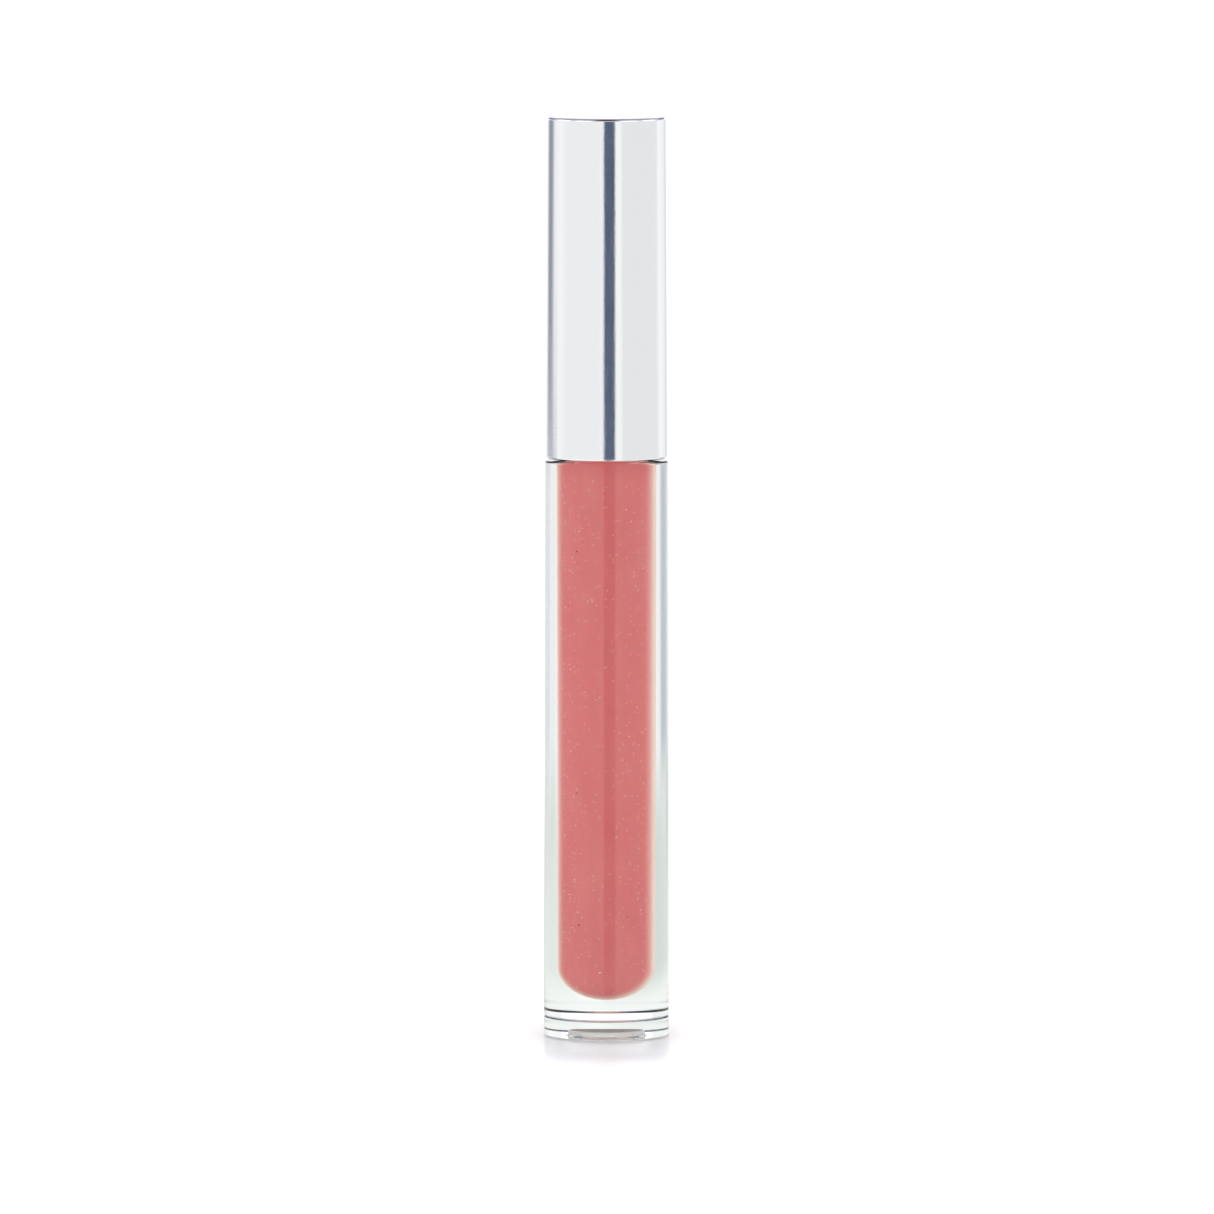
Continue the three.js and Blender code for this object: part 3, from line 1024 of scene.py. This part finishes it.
# Soft panels and gaps of the studio round the object: where each stands, seen from the object, and its
# colour. Azimuth 0 is towards the camera and 90 towards +X, angles are in degrees, and a later panel
# hides an earlier one.
SURROUND = 0.92
SOFTBOX_AZIMUTHS = (-95, -47, 47, 95)
PANELS = [
    # name, azimuth, half width, softness, lowest, highest, edge softness, colour
    ("backdrop", 180, 22, 10, -90, 90, 1, grey(1.1)),
    ("right_glow", 122, 10, 16, -60, 34, 3, grey(1.04)),
    ("left_glow", -100, 10, 12, -60, 34, 3, grey(1.0)),
    ("table_near", 0, 180, 0.1, -42, -10, 2, grey(1.05)),
    ("table_under", 0, 180, 0.1, -90, -42, 2, grey(1.0)),
    ("left_card_upper", -135, 12, 7, -3.8, 2, 0.2, (0.30, 0.32, 0.38)),
    ("left_card_lower", -117, 9, 5, -5.7, -3.8, 0.3, (0.37, 0.43, 0.49)),
    ("left_low", -130, 46, 10, -7.6, -5.7, 0.3, (0.66, 0.70, 0.67)),
    ("left_high_view", -130, 16, 8, -90, -9, 2, (0.36, 0.39, 0.44)),
    ("right_low", 132, 26, 10, -7.6, -5.7, 0.3, (0.80, 0.84, 0.80)),
    ("right_card", 153, 6, 4, -5.7, 2, 0.3, (0.74, 0.77, 0.8)),
    ("right_rim", 112, 8, 5, -5.7, -3.8, 0.3, (0.8, 0.85, 0.87)),
    ("right_high_view", 140, 12, 8, -90, -9, 2, (0.52, 0.55, 0.6)),
    ("right_fill", 68, 45, 8, -90, 14, 3, (0.855, 0.855, 0.86)),
    ("gap_edge", 23, 6, 2.5, -42, 14, 3, (1.0, 1.0, 0.99)),
    ("gap_rim", -10.5, 1.5, 1.5, -42, 14, 3, grey(0.98)),
    ("camera_gap", 5.6, 10.4, 1.7, -6.4, 5, 0.4, (0.09, 0.12, 0.19)),
    ("gap_high_view", 5.5, 9.6, 2.5, -90, -9, 2, (0.2, 0.23, 0.3)),
    ("behind_table", 180, 34, 8, 4, 9, 1, grey(1.5)),
    ("above_backdrop", 180, 60, 20, 9.5, 29, 1, (0.28, 0.3, 0.5)),
    ("above_backdrop_middle", 180, 10, 8, 9.5, 29, 1, (0.5, 0.36, 0.33)),
    ("behind_foot", 180, 150, 5, -9, -6.68, 0.1, (0.95, 0.97, 0.96)),
    ("overhead", 0, 180, 0.1, 31, 90, 3, (0.38, 0.39, 0.46)),
    ("overhead_gap", 0, 27, 6, 20, 78, 4, (0.06, 0.03, 0.03)),
]
for softbox_azimuth in SOFTBOX_AZIMUTHS:
    PANELS.append(("softbox", softbox_azimuth, 16, 5, 12, 30, 2, grey(1.9)))


def window(tree, value, centre, half, soft):
    """1 within half of the centre and 0 outside, with a soft edge. Angles in degrees, value in radians."""
    shifted = calculate(tree, "SUBTRACT", value, math.radians(centre))
    wrapped = calculate(tree, "WRAP", shifted, math.pi, -math.pi)
    away = calculate(tree, "ABSOLUTE", wrapped)
    edge = (math.radians(half + soft), math.radians(half - soft))
    return remap(tree, away, edge, soft=True)


def make_studio():
    """A world of soft panels, each laid over those before it."""
    world = bpy.data.worlds.new("studio")
    world.use_nodes = True
    bpy.context.scene.world = world
    tree = world.node_tree
    place = add(tree, "ShaderNodeTexCoord")
    split = add(tree, "ShaderNodeSeparateXYZ")
    tree.links.new(place.outputs["Generated"], split.inputs[0])
    towards = calculate(tree, "MULTIPLY", split.outputs["Y"], -1)
    azimuth = calculate(tree, "ARCTAN2", split.outputs["X"], towards)
    elevation = calculate(tree, "ARCSINE", split.outputs["Z"])
    color = grey(SURROUND)
    for name, centre, half, soft, lowest, highest, edge, panel_color in PANELS:
        across = window(tree, azimuth, centre, half, soft)
        up = window(tree, elevation, (lowest + highest) / 2, (highest - lowest) / 2, edge)
        color = mixed(tree, calculate(tree, "MULTIPLY", across, up), color, panel_color)
    tree.links.new(color, tree.nodes["Background"].inputs["Color"])


make_studio()

bpy.context.scene.view_settings.view_transform = "Standard"
